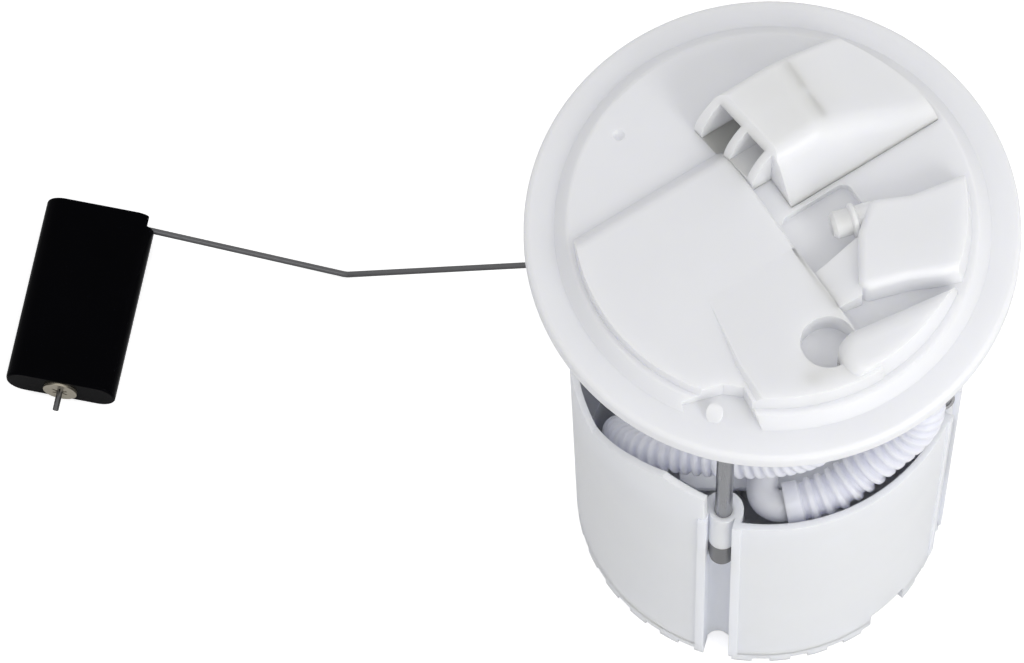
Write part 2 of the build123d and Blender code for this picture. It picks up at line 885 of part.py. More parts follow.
def commutator():
    high = commutator_low + commutator_height
    ring = post(commutator_radius, commutator_low, high)
    ring -= post(shaft_radius + press_clearance, commutator_low - 1, high + 1)
    for turn in range(armature_slots):
        slit = block(commutator_radius - 2, commutator_radius + 1, -0.3, 0.3, commutator_low - 1, high + 1)
        ring -= Rot(0, 0, 360 / armature_slots * turn) * slit
    return Pos(*pump_place, 0) * ring


def brush_block(growth=0.0):
    """One carbon brush standing on the commutator's face."""
    reach = commutator_radius - brush_side / 2 - 1
    half = brush_side / 2 + growth
    low = commutator_low + commutator_height + running_clearance
    return block(reach - half, reach + half, -half, half, low, low + brush_length)


def motor_brushes():
    pair = [Rot(0, 0, turn) * brush_block() for turn in (90, 270)]
    return group(pair, Pos(*pump_place, 0))


nipple_top = can_top + 10 + nipple_length


def pump_outlet_cap():
    """Cap with brush wells, upper bearing and the delivery nipple."""
    body = post(plug_radius, outlet_low, can_top - crimp)
    body += post(outlet_cap_radius, can_top - crimp, can_top + 2)
    body += post(outlet_cap_radius - 4, can_top + 2, can_top + 6)
    body += post(nipple_radius, can_top + 6, nipple_top)
    body -= post(shaft_radius + running_clearance, outlet_low - 1, outlet_low + 6.5)
    body -= post(nipple_bore, outlet_low + 7.5, nipple_top + 1)
    body -= Pos(7, 0, 0) * post(1.6, outlet_low - 1, can_top)
    body -= block(0, 7, -1.2, 1.2, can_top - 2, can_top)
    for turn in (90, 270):
        body -= Rot(0, 0, turn) * brush_block(running_clearance)
    return Pos(*pump_place, 0) * body


def pump_filter():
    """Fine sock under the pump, pushed onto the inlet cap's nipple."""
    low = cup_floor_z + free_gap
    high = can_bottom + crimp - 8
    nose = low + 6
    x, y = pump_place
    body = post(can_radius - 2, low, nose, x, y)
    body = fillet(body.edges().filter_by(GeomType.CIRCLE), 1.2)
    body += post(7.0, nose, high + 3, x, y)
    return body - post(5.0 + press_clearance, high, high + 4, x, y)


sleeve_outer = can_radius + press_clearance + sleeve_wall
sleeve_high = can_top - 3


def isolator_sleeve():
    """Rubber ring that keeps the pump's hum out of the carrier."""
    low = sleeve_high - sleeve_height
    body = tube(sleeve_outer, can_radius + press_clearance, low, sleeve_high, *pump_place)
    return fillet(body.edges().filter_by(GeomType.CIRCLE), 0.5)


def pump_carrier():
    """Plate across the cup with a collar that holds the pump by its sleeve."""
    x, y = pump_place
    high = carrier_z + carrier_plate
    plate = post(carrier_radius, carrier_z, high)
    plate &= block(carrier_left, 60, carrier_front, 60, carrier_z, high)
    for azimuth in ledge_azimuths:
        reach = cup_radius(carrier_z) - cup_wall - free_gap
        arm = block(20, reach, -3.5, 3.5, carrier_z, carrier_z + carrier_plate / 2)
        plate += Rot(0, 0, azimuth) * arm
    bore = sleeve_outer + press_clearance
    collar = post(bore + 2, sleeve_high - sleeve_height, high, x, y)
    body = plate + collar
    body -= post(bore, sleeve_high - sleeve_height - 1, sleeve_high, x, y)
    body -= post(can_radius + free_gap, sleeve_high - 1, can_top + seat_gap, x, y)
    body -= post(can_radius - 1, can_top - 1, high + 1, x, y)
    for px, py, r in ((27.0, -24.0, 5.0), (-12.0, -28.0, 4.0), (30.0, 30.0, 6.0)):
        body -= post(r, carrier_z - 1, high + 1, px, py)
    lip = block(-14, 10, carrier_front, carrier_front + 1.6, carrier_z, high + 0.4)
    return body + lip


# ---- fuel lines ------------------------------------------------------------------------
def bends(points):
    """The largest arc that each corner of a route has room for."""
    radii = []
    for before, at, after in zip(points, points[1:], points[2:]):
        one = at - before
        two = after - at
        turn = radians(one.get_angle(two))
        radii.append(bend_share * min(one.length, two.length) / tan_half(turn))
    return radii


def tan_half(angle):
    return sin(angle / 2) / cos(angle / 2)


def route(points):
    radii = bends(points)
    print("bends", [round(radius, 1) for radius in radii])
    return FilletPolyline(*points, radius=radii)


def pipe(path, outer, inner=0.0):
    """A round pipe swept along a path."""
    start = Plane(origin=path @ 0, z_dir=path % 0)
    section = start * Circle(outer)
    if inner:
        section -= start * Circle(inner)
    return sweep(section, path=path)


supply_start = Vector(pump_place[0], supply_inset - cup_top_radius, rim_z - supply_hose_radius)
supply_lead = Vector(12.0, 2.0, 1.0).normalized()
elbow_reach = 6.5


def elbow_path(overrun):
    """Route of the delivery pipe, from above the pump's nipple to the hose or beyond."""
    x, y = pump_place
    corner = supply_start - supply_lead * elbow_reach
    corners = [
        Vector(x, y, corner.Z),
        Vector(corner.X, -30.0, corner.Z),
        corner,
        supply_start + supply_lead * overrun,
    ]
    tight = elbow_radius + 0.4
    return FilletPolyline(*corners, radius=[4 * elbow_radius, tight])


def delivery_elbow():
    """Rigid pipe from the pump's nipple to the supply hose."""
    x, y = pump_place
    socket_low = nipple_top - nipple_length + 2
    body = pipe(elbow_path(0), elbow_radius)
    body += post(nipple_radius + 2.4, socket_low, supply_start.Z + elbow_radius + 0.6, x, y)
    body += extrude(Plane(origin=supply_start, z_dir=supply_lead) * Circle(cover_nipple_radius), cuff_grip)
    body -= post(nipple_radius + press_clearance, socket_low - 1, nipple_top, x, y)
    body -= post(nipple_bore, nipple_top - 1, supply_start.Z, x, y)
    return body - pipe(elbow_path(cuff_grip + 1), nipple_bore)


hose_top = -9.0


def supply_points():
    x, y = supply_nipple
    return [
        supply_start,
        supply_start + supply_lead * 12.2,
        Vector(30.0, -36.0, -82.0),
        Vector(46.0, -29.0, -64.0),
        Vector(x, y, -38.0),
        Vector(x, y, hose_top),
    ]


def supply_hose():
    return pipe(route(supply_points()), supply_hose_radius, supply_hose_radius - hose_wall)


def return_points():
    x, y = return_nipple
    jx, jy = jet_place
    return [
        Vector(x, y, hose_top),
        Vector(x, y, -46.0),
        Vector(-2.0, -35.5, -77.0),
        Vector(-34.0, -31.5, -90.0),
        Vector(jx, jy, -114.0),
        Vector(jx, jy, jet_top),
    ]


def return_hose():
    return pipe(route(return_points()), return_hose_radius, return_hose_radius - hose_wall)


def jet_pump():
    """Ejector that draws fuel through the floor valve with the returned flow."""
    x, y = jet_place
    body = post(jet_radius, cup_floor_z, jet_top - 6, x, y)
    body += post(jet_radius - 0.6, jet_top - 6, jet_top, x, y)
    body += post(return_hose_radius - hose_wall - seat_gap, jet_top, jet_top + cuff_grip, x, y)
    foot = block(x - 9, x + 6, y - 7, y + 7, cup_floor_z, cup_floor_z + 2.4)
    diffuser = Pos(x + 4, y, cup_floor_z + 7) * Rot(0, 90, 0) * Cylinder(3.6, 22)
    body += foot + (diffuser & block(x, x + 16, y - 8, y + 8, cup_floor_z, jet_top))
    body -= post(return_nipple_bore, cup_floor_z + 7, jet_top + cuff_grip + 1, x, y)
    return body - Pos(x + 10, y, cup_floor_z + 7) * Rot(0, 90, 0) * Cylinder(2.0, 20)


# ---- level sender and float ------------------------------------------------------------
def spindle_bore(radius, n0, n1):
    """A cylinder along the arm's hinge line."""
    middle = sender_frame(pivot_reach, (n0 + n1) / 2, pivot_z)
    return Pos(middle) * Rot(0, 0, arm_heading) * Rot(90, 0, 0) * Cylinder(radius, n1 - n0)


def level_sender():
    """Housing on the bracket, with a recess for the resistor card and a bearing for the arm."""
    n1 = arm_face - free_gap
    low = pivot_z - sender_height * 0.48
    body = sender_block(pivot_reach - sender_width * 0.55, sender_outer, sender_back, n1, low, sender_top)
    clear = cup_cone(free_gap + groove_rib_rise, skirt_z, rim_z)
    card = sender_block(
        pivot_reach - 6, sender_outer - 2, n1 - card_thickness - 0.2, n1 + 1, low + 4, pivot_z - 4.6
    )
    body -= clear
    body -= card
    return body - spindle_bore(spindle_radius + running_clearance, sender_back - 1, n1 + 1)


card_thickness = 0.8


def resistor_card():
    """Ceramic card with its printed track, in the sender's recess."""
    n1 = arm_face - free_gap
    low = pivot_z - sender_height * 0.48 + 4.2
    return sender_block(
        pivot_reach - 5.8, sender_outer - 2.2, n1 - card_thickness - 0.2, n1 - 0.2, low, pivot_z - 4.8
    )


def arm_points():
    """Corners of the float wire, from its hooked end in the hub to its tail."""
    reach = pivot_reach + arm_first_run
    low = pivot_z - arm_first_drop
    far = sender_frame(reach + arm_second_run, arm_offset, low + arm_second_rise)
    along = Vector(cos(radians(float_heading)), sin(radians(float_heading)), 0)
    tail = float_length - float_overhang + clip_thickness + arm_tail
    return [
        sender_frame(pivot_reach, arm_offset - hub_length / 2 + 0.6, pivot_z),
        sender_frame(pivot_reach, arm_offset, pivot_z),
        sender_frame(reach, arm_offset, low),
        far,
        far + along * tail,
    ]


def float_arm():
    points = arm_points()
    path = FilletPolyline(*points, radius=[1.2, arm_bend, arm_bend])
    return pipe(path, arm_radius)


def arm_carrier():
    """Hub and lever that hold the wire, with the spindle that turns in the sender."""
    n0 = arm_face
    n1 = arm_face + hub_length
    body = spindle_bore(hub_radius, n0, n1)
    body += spindle_bore(spindle_radius, sender_back + 0.3, n0)
    drop = degrees(asin(arm_first_drop / sqrt(arm_first_run**2 + arm_first_drop**2)))
    lever = block(0, lever_length, -hub_length / 2, hub_length / 2, -3.2, 3.2)
    origin = sender_frame(pivot_reach, arm_offset, pivot_z)
    body += Pos(origin) * Rot(0, 0, arm_heading) * Rot(0, drop, 0) * lever
    points = arm_points()
    path = FilletPolyline(*points[:3], radius=[1.2])
    slot = Pos(origin) * Rot(0, 0, arm_heading) * Rot(0, drop, 0)
    cut = arm_radius + press_clearance
    body -= slot * block(0, lever_length + 1, -hub_length, 0, -cut * 0.8, cut * 0.8)
    return body - pipe(path, cut) - slot * block(-cut, cut, -hub_length, 0, -cut, cut)


def float_place():
    far = arm_points()[3]
    along = Vector(cos(radians(float_heading)), sin(radians(float_heading)), 0)
    return far - along * float_overhang


def float_frame():
    return Pos(float_place()) * Rot(0, 0, float_heading)


def fuel_float():
    """Foamed float: a flat block with generous sides, bored for the wire and notched for its bend."""
    body = Pos(float_length / 2, 0, 0) * Box(float_length, float_width, float_thickness)
    body = fillet(body.edges().filter_by(Axis.X), float_side_round)
    ends = body.faces().filter_by(Axis.X).edges()
    body = fillet(ends, 0.8)
    bore = Rot(0, 90, 0) * post(arm_radius + running_clearance, -1, float_length + 1)
    clear = arm_radius + free_gap
    recess = Rot(0, 90, 0) * post(arm_bend + clear, -1, float_overhang + arm_bend + clear)
    reach = float_width
    flare = clear + reach * sin(radians(float_swing))
    mouth = Polyline((0, 0, -clear), (0, reach, -flare), (0, reach, flare), (0, 0, clear), close=True)
    notch = Pos(-1, 0, 0) * extrude(make_face(mouth), float_overhang + clear + 1, dir=(1, 0, 0))
    return float_frame() * (body - bore - recess - notch)


def float_clip():
    """Star-lock washer that keeps the float on its wire."""
    washer = Rot(0, 90, 0) * post(clip_radius, float_length, float_length + clip_thickness)
    hole = Rot(0, 90, 0) * post(arm_radius + press_clearance, float_length - 1, float_length + 2)
    teeth = [
        Rot(60 * turn, 0, 0)
        * block(float_length - 1, float_length + 2, -0.3, 0.3, arm_radius, arm_radius + 1.6)
        for turn in range(6)
    ]
    return float_frame() * (washer - hole - teeth)


os.makedirs("parts", exist_ok=True)
cover = cover_flange()
parts = {
    "cover_flange": cover,
    "socket_housing": socket_housing(cover),
    "socket_pins": socket_pins(),
    "front_guide_rod": guide_rod("front"),
    "right_guide_rod": guide_rod("right"),
    "rear_guide_rod": guide_rod("rear"),
    "rod_stop": rod_stop(),
    "guide_springs": guide_springs(),
    "reservoir_cup": reservoir_cup(),
    "reservoir_foot": reservoir_foot(),
    "inlet_valve": inlet_valve(),
    "inlet_strainer": inlet_strainer(),
    "pump_can": pump_can(),
    "pump_inlet_cap": pump_inlet_cap(),
    "impeller_housing": impeller_housing(),
    "impeller": impeller(),
    "motor_magnets": motor_magnets(),
    "armature": armature(),
    "commutator": commutator(),
    "motor_brushes": motor_brushes(),
    "pump_outlet_cap": pump_outlet_cap(),
    "pump_filter": pump_filter(),
    "isolator_sleeve": isolator_sleeve(),
    "pump_carrier": pump_carrier(),
    "delivery_elbow": delivery_elbow(),
    "supply_hose": supply_hose(),
    "return_hose": return_hose(),
    "jet_pump": jet_pump(),
    "level_sender": level_sender(),
    "resistor_card": resistor_card(),
    "arm_carrier": arm_carrier(),
    "float_arm": float_arm(),
    "fuel_float": fuel_float(),
    "float_clip": float_clip(),
}
for name, shape in parts.items():
    export_step(shape, f"parts/{name}.step")
    print(name, round(shape.volume), len(shape.solids()))
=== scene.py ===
"""Visual model of an in-tank fuel pump module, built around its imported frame."""

import logging
import math
from dataclasses import dataclass, field
from enum import Enum
from typing import Any, Sequence, Union

import bpy
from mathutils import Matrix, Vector


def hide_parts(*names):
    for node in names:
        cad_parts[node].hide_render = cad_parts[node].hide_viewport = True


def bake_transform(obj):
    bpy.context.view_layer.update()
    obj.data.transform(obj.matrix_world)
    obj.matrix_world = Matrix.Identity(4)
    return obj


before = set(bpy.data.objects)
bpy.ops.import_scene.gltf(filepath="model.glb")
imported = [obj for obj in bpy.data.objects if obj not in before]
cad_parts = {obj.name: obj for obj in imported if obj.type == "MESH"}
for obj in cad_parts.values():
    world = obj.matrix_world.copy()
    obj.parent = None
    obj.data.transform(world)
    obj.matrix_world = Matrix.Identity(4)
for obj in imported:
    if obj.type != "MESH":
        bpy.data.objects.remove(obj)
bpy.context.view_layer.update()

log = logging.getLogger("fuel_module")

MM = 0.001
WHITE = (1.0, 1.0, 1.0, 1.0)
MIDDLE = 0.5  # a noise pattern's average
WAVE_UNIT = 20.0  # radians per unit of a Wave Texture's scale
CURVE_STEPS = 24  # divisions between two control points of a route
Point = tuple[float, float, float]
Colour = tuple[float, float, float]


# ------------------------------------------------------------------ shader helpers


class Channel:
    """A number socket that takes part in arithmetic."""

    def __init__(self, graph: "Graph", socket: bpy.types.NodeSocket) -> None:
        """Wraps a socket.

        Args:
            graph: The node graph that the socket belongs to.
            socket: The output socket that carries the number.
        """
        self.graph = graph
        self.socket = socket

    def _math(self, operation: str, first: Any, second: Any) -> "Channel":
        """Adds one Math node.

        Args:
            operation: Name of the Math node's operation.
            first: Left operand.
            second: Right operand.

        Returns:
            The node's result.
        """
        made = self.graph.node(
            "ShaderNodeMath", {"operation": operation}, {0: first, 1: second}
        )
        return Channel(self.graph, made.outputs[0])

    def __add__(self, other: "Number") -> "Channel":
        """Sum."""
        return self._math("ADD", self, other)

    def __radd__(self, other: "Number") -> "Channel":
        """Reflected sum."""
        return self._math("ADD", other, self)

    def __sub__(self, other: "Number") -> "Channel":
        """Difference."""
        return self._math("SUBTRACT", self, other)

    def __rsub__(self, other: "Number") -> "Channel":
        """Reflected difference."""
        return self._math("SUBTRACT", other, self)

    def __mul__(self, other: "Number") -> "Channel":
        """Product."""
        return self._math("MULTIPLY", self, other)

    def __rmul__(self, other: "Number") -> "Channel":
        """Reflected product."""
        return self._math("MULTIPLY", other, self)

    def maximum(self, other: "Number") -> "Channel":
        """The larger of two numbers."""
        return self._math("MAXIMUM", self, other)


Number = Union[float, Channel]


class Graph:
    """Builds the nodes of one material or world."""

    def __init__(self, tree: bpy.types.NodeTree) -> None:
        """Empties the tree.

        Args:
            tree: The node tree to fill.
        """
        self.tree = tree
        tree.nodes.clear()

    def node(
        self,
        kind: str,
        settings: dict[str, Any] | None = None,
        inputs: dict[Union[str, int], Any] | None = None,
    ) -> bpy.types.Node:
        """Adds a node.

        Args:
            kind: Blender's type name of the node.
            settings: Attributes, which are set first.
            inputs: Values or links of its sockets, by name or number.

        Returns:
            The new node.
        """
        made = self.tree.nodes.new(kind)
        for key, value in (settings or {}).items():
            setattr(made, key, value)
        for key, value in (inputs or {}).items():
            if isinstance(value, Channel):
                value = value.socket
            if isinstance(value, bpy.types.NodeSocket):
                self.tree.links.new(value, made.inputs[key])
            else:
                made.inputs[key].default_value = value
        return made

    def number(self, made: bpy.types.Node, output: Union[str, int] = 0) -> Channel:
        """Wraps a node's output for arithmetic."""
        return Channel(self, made.outputs[output])

    def place(self, scale: Point = (1.0, 1.0, 1.0)) -> bpy.types.NodeSocket:
        """Object coordinates, stretched.

        Args:
            scale: Factors along X, Y and Z.

        Returns:
            The vector socket.
        """
        coordinates = self.node("ShaderNodeTexCoord")
        mapping = self.node(
            "ShaderNodeMapping",
            inputs={"Vector": coordinates.outputs["Object"], "Scale": scale},
        )
        return mapping.outputs[0]

    def noise(
        self, scale: float, detail: float, stretch: Point = (1.0, 1.0, 1.0)
    ) -> Channel:
        """A noise pattern fixed to the object.

        Args:
            scale: Features per metre.
            detail: Octaves.
            stretch: Factors along X, Y and Z.

        Returns:
            The pattern, about 0.5 on average.
        """
        made = self.node(
            "ShaderNodeTexNoise",
            inputs={"Vector": self.place(stretch), "Scale": scale, "Detail": detail},
        )
        return self.number(made, 0)

    def tint(self, mask: Channel, low: Colour, high: Colour) -> bpy.types.NodeSocket:
        """Mixes two colours.

        Args:
            mask: Share of the second colour.
            low: Colour where the mask is 0.
            high: Colour where the mask is 1.

        Returns:
            The colour socket.
        """
        made = self.node(
            "ShaderNodeMix",
            {"data_type": "RGBA"},
            {0: mask, 6: (*low, 1.0), 7: (*high, 1.0)},
        )
        return made.outputs[2]

    def bump(
        self, height: Channel, strength: float, distance: float
    ) -> bpy.types.NodeSocket:
        """Turns a height into a normal.

        Args:
            height: Height pattern.
            strength: Share of the effect.
            distance: Height in metres where the pattern is 1.

        Returns:
            The normal socket.
        """
        made = self.node(
            "ShaderNodeBump",
            inputs={"Strength": strength, "Distance": distance, "Height": height},
        )
        return made.outputs[0]

    def feed(
        self,
        source: Union[Channel, bpy.types.NodeSocket],
        target: bpy.types.NodeSocket,
    ) -> None:
        """Links a number or a socket to a shader's socket."""
        found = source.socket if isinstance(source, Channel) else source
        self.tree.links.new(found, target)


def shade(colour: Colour, factor: float) -> Colour:
    """A colour made lighter or darker by a factor."""
    return tuple(min(1.0, part * factor) for part in colour)


# ------------------------------------------------------------------ finishes


@dataclass(frozen=True)
class Finish:
    """A surface finish: its name, its colour and how glossy it is."""

    name: str
    colour: Colour
    roughness: float

    def material(self) -> bpy.types.Material:
        """Makes the material, or returns the one already made.

        Returns:
            The material.
        """
        known = bpy.data.materials.get(self.name)
        if known:
            return known
        made = bpy.data.materials.new(self.name)
        made.use_nodes = True
        graph = Graph(made.node_tree)
        shader = graph.node("ShaderNodeBsdfPrincipled")
        self.dress(graph, shader)
        graph.node("ShaderNodeOutputMaterial", inputs={"Surface": shader.outputs[0]})
        return made

    def dress(self, graph: Graph, shader: bpy.types.Node) -> None:
        """Sets the shader's sockets. Each finish has its own.

        Args:
            graph: The material's graph.
            shader: Its Principled shader.
        """
        raise NotImplementedError


@dataclass(frozen=True)
class Moulded(Finish):
    """Injection-moulded plastic: faint flow mottle and a fine spark-eroded grain.

    Scales are features per metre, and heights and depths are in metres. glow is the share
    of light that scatters inside, depth how far it gets, and cool how much further the
    blue part goes.
    """

    mottle: float = 0.03
    grain: float = 0.25
    glow: float = 0.0
    depth: float = 0.005
    cool: float = 1.1
    flow_scale: float = 28.0
    gloss_scale: float = 160.0
    gloss_range: float = 0.12
    grain_scale: float = 1900.0
    grain_height: float = 0.00004

    def dress(self, graph: Graph, shader: bpy.types.Node) -> None:
        """Mottled colour, uneven gloss and grain.

        Args:
            graph: The material's graph.
            shader: Its Principled shader.
        """
        flow = graph.noise(self.flow_scale, 3.0)
        fine = graph.noise(self.grain_scale, 2.0)
        dark, light = (shade(self.colour, 1 + side * self.mottle) for side in (-1, 1))
        graph.feed(graph.tint(flow, dark, light), shader.inputs["Base Color"])
        gloss = graph.noise(self.gloss_scale, 3.0)
        rough = self.roughness + (gloss - MIDDLE) * self.gloss_range
        graph.feed(rough, shader.inputs["Roughness"])
        normal = graph.bump(fine, self.grain, self.grain_height)
        graph.feed(normal, shader.inputs["Normal"])
        reach = (self.depth, self.depth, self.cool * self.depth)
        shader.inputs["Subsurface Weight"].default_value = self.glow
        shader.inputs["Subsurface Radius"].default_value = reach
        shader.inputs["Subsurface Scale"].default_value = 1.0


@dataclass(frozen=True)
class Metal(Finish):
    """Metal with drawn or turned lines along one axis.

    lines stretches the pattern: the axis with the small factor is the one they run along.
    edge tints what the metal reflects at a shallow angle.
    """

    lines: Point = (1.0, 1.0, 0.04)
    depth: float = 0.3
    edge: Colour = (1.0, 1.0, 1.0)
    line_scale: float = 2600.0
    line_height: float = 0.00003
    line_gloss: float = 0.22
    stain_scale: float = 90.0
    stain_gloss: float = 0.1
    stain_dark: float = 0.9
    stain_light: float = 1.06

    def dress(self, graph: Graph, shader: bpy.types.Node) -> None:
        """Lined gloss and slight tarnish.

        Args:
            graph: The material's graph.
            shader: Its Principled shader.
        """
        lines = graph.noise(self.line_scale, 3.0, self.lines)
        stain = graph.noise(self.stain_scale, 4.0)
        dark = shade(self.colour, self.stain_dark)
        light = shade(self.colour, self.stain_light)
        graph.feed(graph.tint(stain, dark, light), shader.inputs["Base Color"])
        lined = (lines - MIDDLE) * self.line_gloss
        stained = (stain - MIDDLE) * self.stain_gloss
        graph.feed(self.roughness + lined + stained, shader.inputs["Roughness"])
        normal = graph.bump(lines, self.depth, self.line_height)
        graph.feed(normal, shader.inputs["Normal"])
        shader.inputs["Metallic"].default_value = 1.0
        shader.inputs["Specular Tint"].default_value = (*self.edge, 1.0)


@dataclass(frozen=True)
class Rubber(Finish):
    """Rubber or closed-cell foam with a fine pitted skin.

    pits is the relief's strength and shine the specular level, low on a dull skin.
    """

    pits: float = 0.5
    shine: float = 0.4
    pit_scale: float = 1300.0
    pit_height: float = 0.00008
    bloom_scale: float = 70.0
    bloom_gloss: float = 0.16
    bloom_dark: float = 0.75
    bloom_light: float = 1.5

    def dress(self, graph: Graph, shader: bpy.types.Node) -> None:
        """Pitted skin with bloom in patches.

        Args:
            graph: The material's graph.
            shader: Its Principled shader.
        """
        pits = graph.noise(self.pit_scale, 4.0)
        bloom = graph.noise(self.bloom_scale, 4.0)
        dark = shade(self.colour, self.bloom_dark)
        light = shade(self.colour, self.bloom_light)
        graph.feed(graph.tint(bloom, dark, light), shader.inputs["Base Color"])
        rough = self.roughness + (bloom - MIDDLE) * self.bloom_gloss
        graph.feed(rough, shader.inputs["Roughness"])
        normal = graph.bump(pits, self.pits, self.pit_height)
        graph.feed(normal, shader.inputs["Normal"])
        shader.inputs["Specular IOR Level"].default_value = self.shine


@dataclass(frozen=True)
class Woven(Finish):
    """Fine square-woven filter mesh. Lengths are in metres."""

    pitch: float = 0.0009
    # factor of the painted shade in the holes, standing for the dark inside seen through
    # them
    painted_hole_shade: float = 0.45
    relief: float = 0.6
    thread_height: float = 0.0002

    def dress(self, graph: Graph, shader: bpy.types.Node) -> None:
        """Threads over and under, with painted shade in the holes between them.

        Args:
            graph: The material's graph.
            shader: Its Principled shader.
        """
        rate = 2 * math.pi / self.pitch / WAVE_UNIT
        wave = []
        for stretch in ((1.0, 0.0, 0.0), (0.0, 1.0, 0.0)):
            made = graph.node(
                "ShaderNodeTexWave",
                {"wave_type": "BANDS", "bands_direction": "DIAGONAL"},
                {"Vector": graph.place(stretch), "Scale": rate, "Detail": 0.0},
            )
            wave.append(graph.number(made, 1))
        threads = wave[0].maximum(wave[1])
        # painted shade: the holes between the threads are coloured darker
        colour = graph.tint(threads, shade(self.colour, self.painted_hole_shade), self.colour)
        graph.feed(colour, shader.inputs["Base Color"])
        normal = graph.bump(threads, self.relief, self.thread_height)
        graph.feed(normal, shader.inputs["Normal"])
        shader.inputs["Roughness"].default_value = self.roughness


class Finishes(Enum):
    """Every finish on the module."""

    COVER = Moulded("cover_acetal", (0.82, 0.825, 0.845), 0.36, glow=0.9)
    POT = Moulded("pot_acetal", (0.84, 0.86, 0.94), 0.38, glow=0.9, depth=0.004)
    HOSE = Moulded("hose_polyamide", (0.78, 0.79, 0.86), 0.32, grain=0.1, glow=0.9)
    SENDER = Moulded("sender_acetal", (0.76, 0.76, 0.77), 0.4)
    PUMP_BLACK = Moulded("pump_black_plastic", (0.03, 0.03, 0.032), 0.42)
    PHENOLIC = Moulded("impeller_phenolic", (0.09, 0.06, 0.035), 0.5, mottle=0.2)
    CERAMIC = Moulded("card_ceramic", (0.75, 0.73, 0.66), 0.3, mottle=0.05)
    CARBON = Moulded("brush_carbon", (0.02, 0.02, 0.02), 0.55, mottle=0.2)
    FERRITE = Moulded("magnet_ferrite", (0.045, 0.045, 0.05), 0.6, mottle=0.15)
    ROD = Metal("drawn_rod_steel", (0.32, 0.325, 0.34), 0.3)
    STOP = Metal("dark_turned_steel", (0.22, 0.22, 0.225), 0.4, lines=(0.05, 0.05, 1.0))
    SPRING = Metal("spring_wire_steel", (0.42, 0.42, 0.43), 0.3)
    ARM = Metal("arm_wire_steel", (0.12, 0.12, 0.124), 0.34, lines=(0.04, 1.0, 1.0))
    CAN = Metal("plated_can_steel", (0.55, 0.55, 0.56), 0.28)
    CORE = Metal("core_laminations", (0.30, 0.29, 0.28), 0.45, lines=(0.03, 0.03, 1.0))
    TERMINAL = Metal("tinned_terminal", (0.62, 0.60, 0.52), 0.3)
    COPPER = Metal("commutator_copper", (0.60, 0.30, 0.18), 0.3)
    BRASS = Metal(
        "clip_brass",
        (0.1, 0.08, 0.032),
        0.5,
        lines=(1.0, 0.05, 1.0),
        edge=(0.38, 0.32, 0.15),
    )
    SEAL = Rubber("seal_rubber", (0.02, 0.02, 0.02), 0.55)
    FLOAT = Rubber("float_foam", (0.0008, 0.0008, 0.0013), 0.24, pits=0.1, shine=0.014)
    MESH = Woven("filter_mesh", (0.62, 0.62, 0.60), 0.6)


def paint(node: str, finish: Finishes) -> None:
    """Gives a CAD node its finish.

    Args:
        node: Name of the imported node.
        finish: The finish to give it.
    """
    made = finish.value.material()
    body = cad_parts[node]
    if not body.material_slots:
        body.data.materials.append(made)
    for place in body.material_slots:
        place.material = made
    log.info("painted %s with %s", node, finish.value.name)


# ------------------------------------------------------------------ geometry helpers


class Weave:
    """Builds one geometry node tree with named inputs."""

    def __init__(self, name: str, sizes: dict[str, float]) -> None:
        """Starts the tree and gives it its inputs.

        Args:
            name: Name of the tree.
            sizes: Names and values of its inputs, in metres or as plain numbers.
        """
        self.tree = bpy.data.node_groups.new(name, "GeometryNodeTree")
        face = self.tree.interface
        face.new_socket("Geometry", in_out="INPUT", socket_type="NodeSocketGeometry")
        self.inputs = {}
        for key, value in sizes.items():
            made = face.new_socket(key, in_out="INPUT", socket_type="NodeSocketFloat")
            made.default_value = value
            self.inputs[key] = made.identifier
        face.new_socket("Geometry", in_out="OUTPUT", socket_type="NodeSocketGeometry")
        self.entry = self.tree.nodes.new("NodeGroupInput")
        self.sizes = sizes

    def node(
        self, kind: str, settings: dict[str, Any] | None = None, **inputs: Any
    ) -> bpy.types.Node:
        """Adds a node to the tree.

        Args:
            kind: Blender's type name.
            settings: Attributes, set first.
            **inputs: Socket name with spaces as underscores, or i0, i1 for
                its number.

        Returns:
            The node.
        """
        made = self.tree.nodes.new(kind)
        for key, value in (settings or {}).items():
            setattr(made, key, value)
        for key, value in inputs.items():
            numbered = key[0] == "i" and key[1:].isdigit()
            found = int(key[1:]) if numbered else key.replace("_", " ")
            socket = made.inputs[found]
            if isinstance(value, bpy.types.NodeSocket):
                self.tree.links.new(value, socket)
            else:
                socket.default_value = value
        return made

    def math(self, operation: str, first: Any, second: Any) -> bpy.types.NodeSocket:
        """One Math node's result."""
        made = self.node("ShaderNodeMath", {"operation": operation}, i0=first, i1=second)
        return made.outputs[0]

    def size(self, name: str) -> bpy.types.NodeSocket:
        """The socket of a named input."""
        return self.entry.outputs[name]

    def finish(self, geometry: bpy.types.NodeSocket, finish: Finishes) -> None:
        """Ends the tree.

        Args:
            geometry: The finished geometry.
            finish: Its material.
        """
        smooth = self.node("GeometryNodeSetShadeSmooth", Geometry=geometry)
        real = self.node("GeometryNodeRealizeInstances", Geometry=smooth.outputs[0])
        dressed = self.node("GeometryNodeSetMaterial", Geometry=real.outputs[0])
        dressed.inputs["Material"].default_value = finish.value.material()
        out = self.tree.nodes.new("NodeGroupOutput")
        self.tree.links.new(dressed.outputs[0], out.inputs[0])

    def grow(self, carrier: bpy.types.Object, name: str) -> bpy.types.Object:
        """Evaluates the tree on an object and keeps the result as a plain mesh.

        Args:
            carrier: Object that the tree works on. It is removed.
            name: Name of the new piece.

        Returns:
            The new mesh object, at the origin.
        """
        modifier = carrier.modifiers.new(name, "NODES")
        modifier.node_group = self.tree
        for key, identifier in self.inputs.items():
            modifier[identifier] = float(self.sizes[key])
        depsgraph = bpy.context.evaluated_depsgraph_get()
        mesh = bpy.data.meshes.new_from_object(carrier.evaluated_get(depsgraph))
        carrier.modifiers.clear()
        bpy.data.objects.remove(carrier)
        made = bpy.data.objects.new(name, mesh)
        bpy.context.scene.collection.objects.link(made)
        return made


